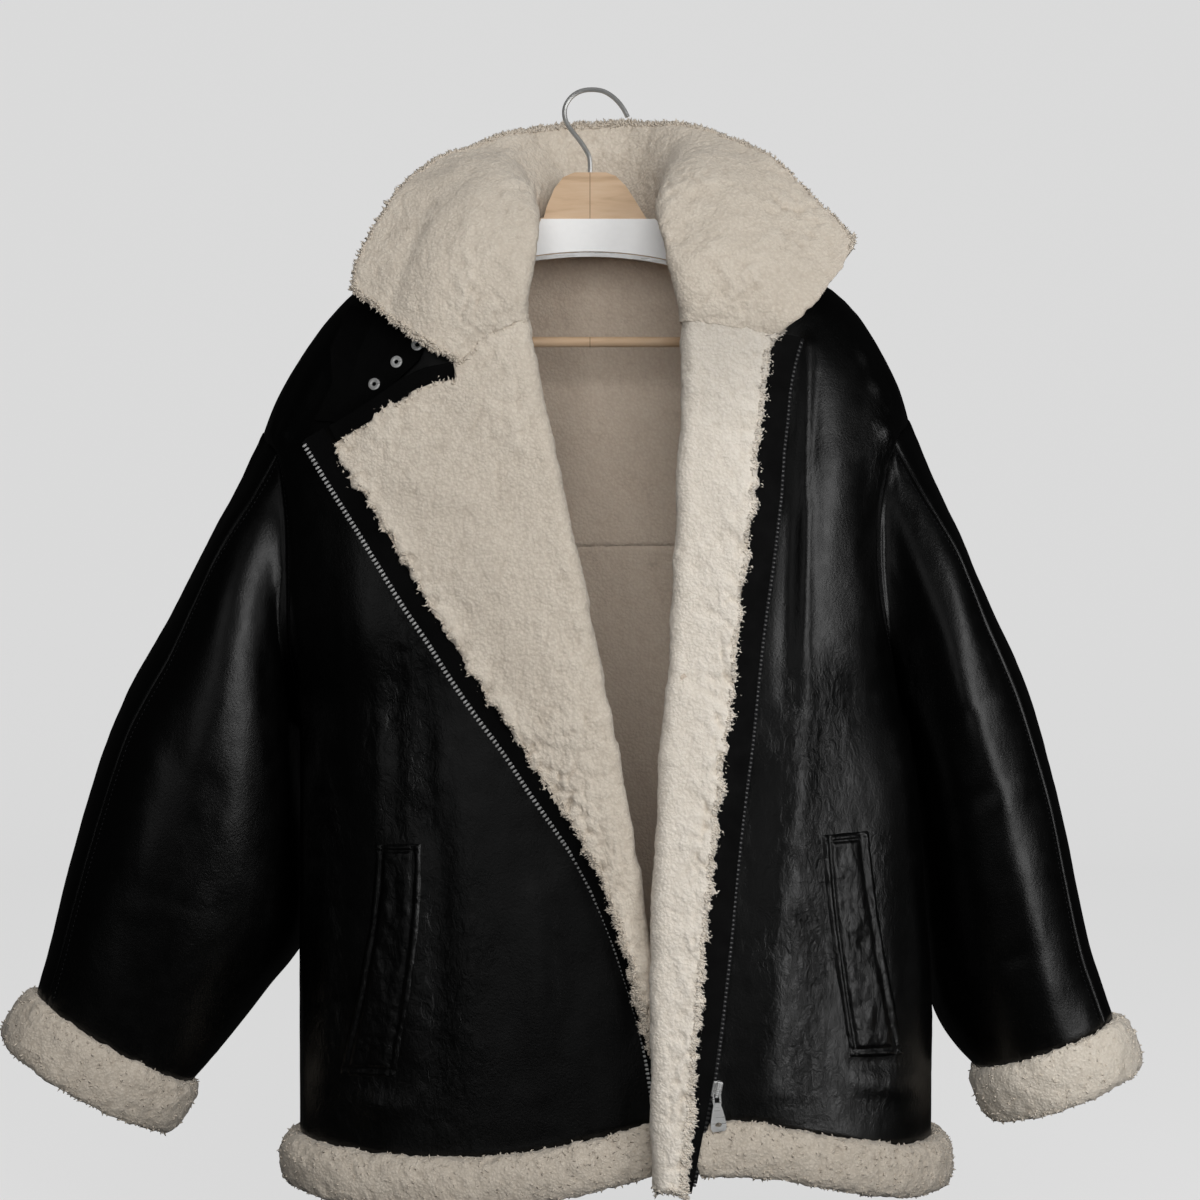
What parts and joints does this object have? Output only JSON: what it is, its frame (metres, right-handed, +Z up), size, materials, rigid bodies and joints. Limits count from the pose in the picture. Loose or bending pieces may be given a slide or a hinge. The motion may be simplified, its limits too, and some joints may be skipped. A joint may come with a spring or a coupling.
{
  "type": "shearling flying jacket on a wooden hanger",
  "caption": "Shearling flying jacket with a wide wool collar and turned-back wool fronts, hanging open on a wooden hanger with a wire hook.",
  "frame": {"origin": "inside of the top of the hanger's hook, where it rests on what holds it", "axes": "+Z up, -Y to the front of the jacket, +X to the wearer's left"},
  "size_m": [0.9075, 0.2446, 0.879],
  "materials": {
    "leather": "glossy, grained",
    "matt_leather": "matt",
    "wool": "curly wool",
    "beech": "satin lacquer",
    "white": "satin",
    "zip_metal": "satin",
    "hook_metal": "polished"
  },
  "bodies": {
    "jacket": {"front_right": "leather", "front_left": "leather", "back_yoke": "leather", "back_lower": "leather", "sleeve_right_front": "leather", "sleeve_right_back": "leather", "sleeve_left_front": "leather", "sleeve_left_back": "leather", "collar": "wool", "cuff_right": "wool", "cuff_left": "wool", "hem_trim_right": "wool", "hem_trim_back": "wool", "hem_trim_left": "wool", "edge_strip_right": "matt_leather", "lapel_top_strip": "matt_leather", "edge_strip_left": "matt_leather", "throat_tab": "matt_leather", "pocket_welt_right": "leather", "pocket_welt_left": "leather", "eyelet_1": "zip_metal", "eyelet_2": "zip_metal", "eyelet_3": "zip_metal", "zip_right": "zip_metal", "zip_left": "zip_metal", "zip_slider": "zip_metal", "hanger_body": "beech", "hanger_bar": "beech", "hanger_band": "white", "hanger_strip": "hook_metal", "hanger_hook": "hook_metal"},
    "zip_pull": {"zip_pull": "zip_metal"}
  },
  "joints": [
    {"name": "pull_swing", "type": "hinge", "parent": "jacket", "child": "zip_pull", "pos_m": [0.09366, -0.13927, -0.77638], "axis": [-0.9814, -0.1795, -0.0686], "range_deg": [0, 140]}
  ]
}
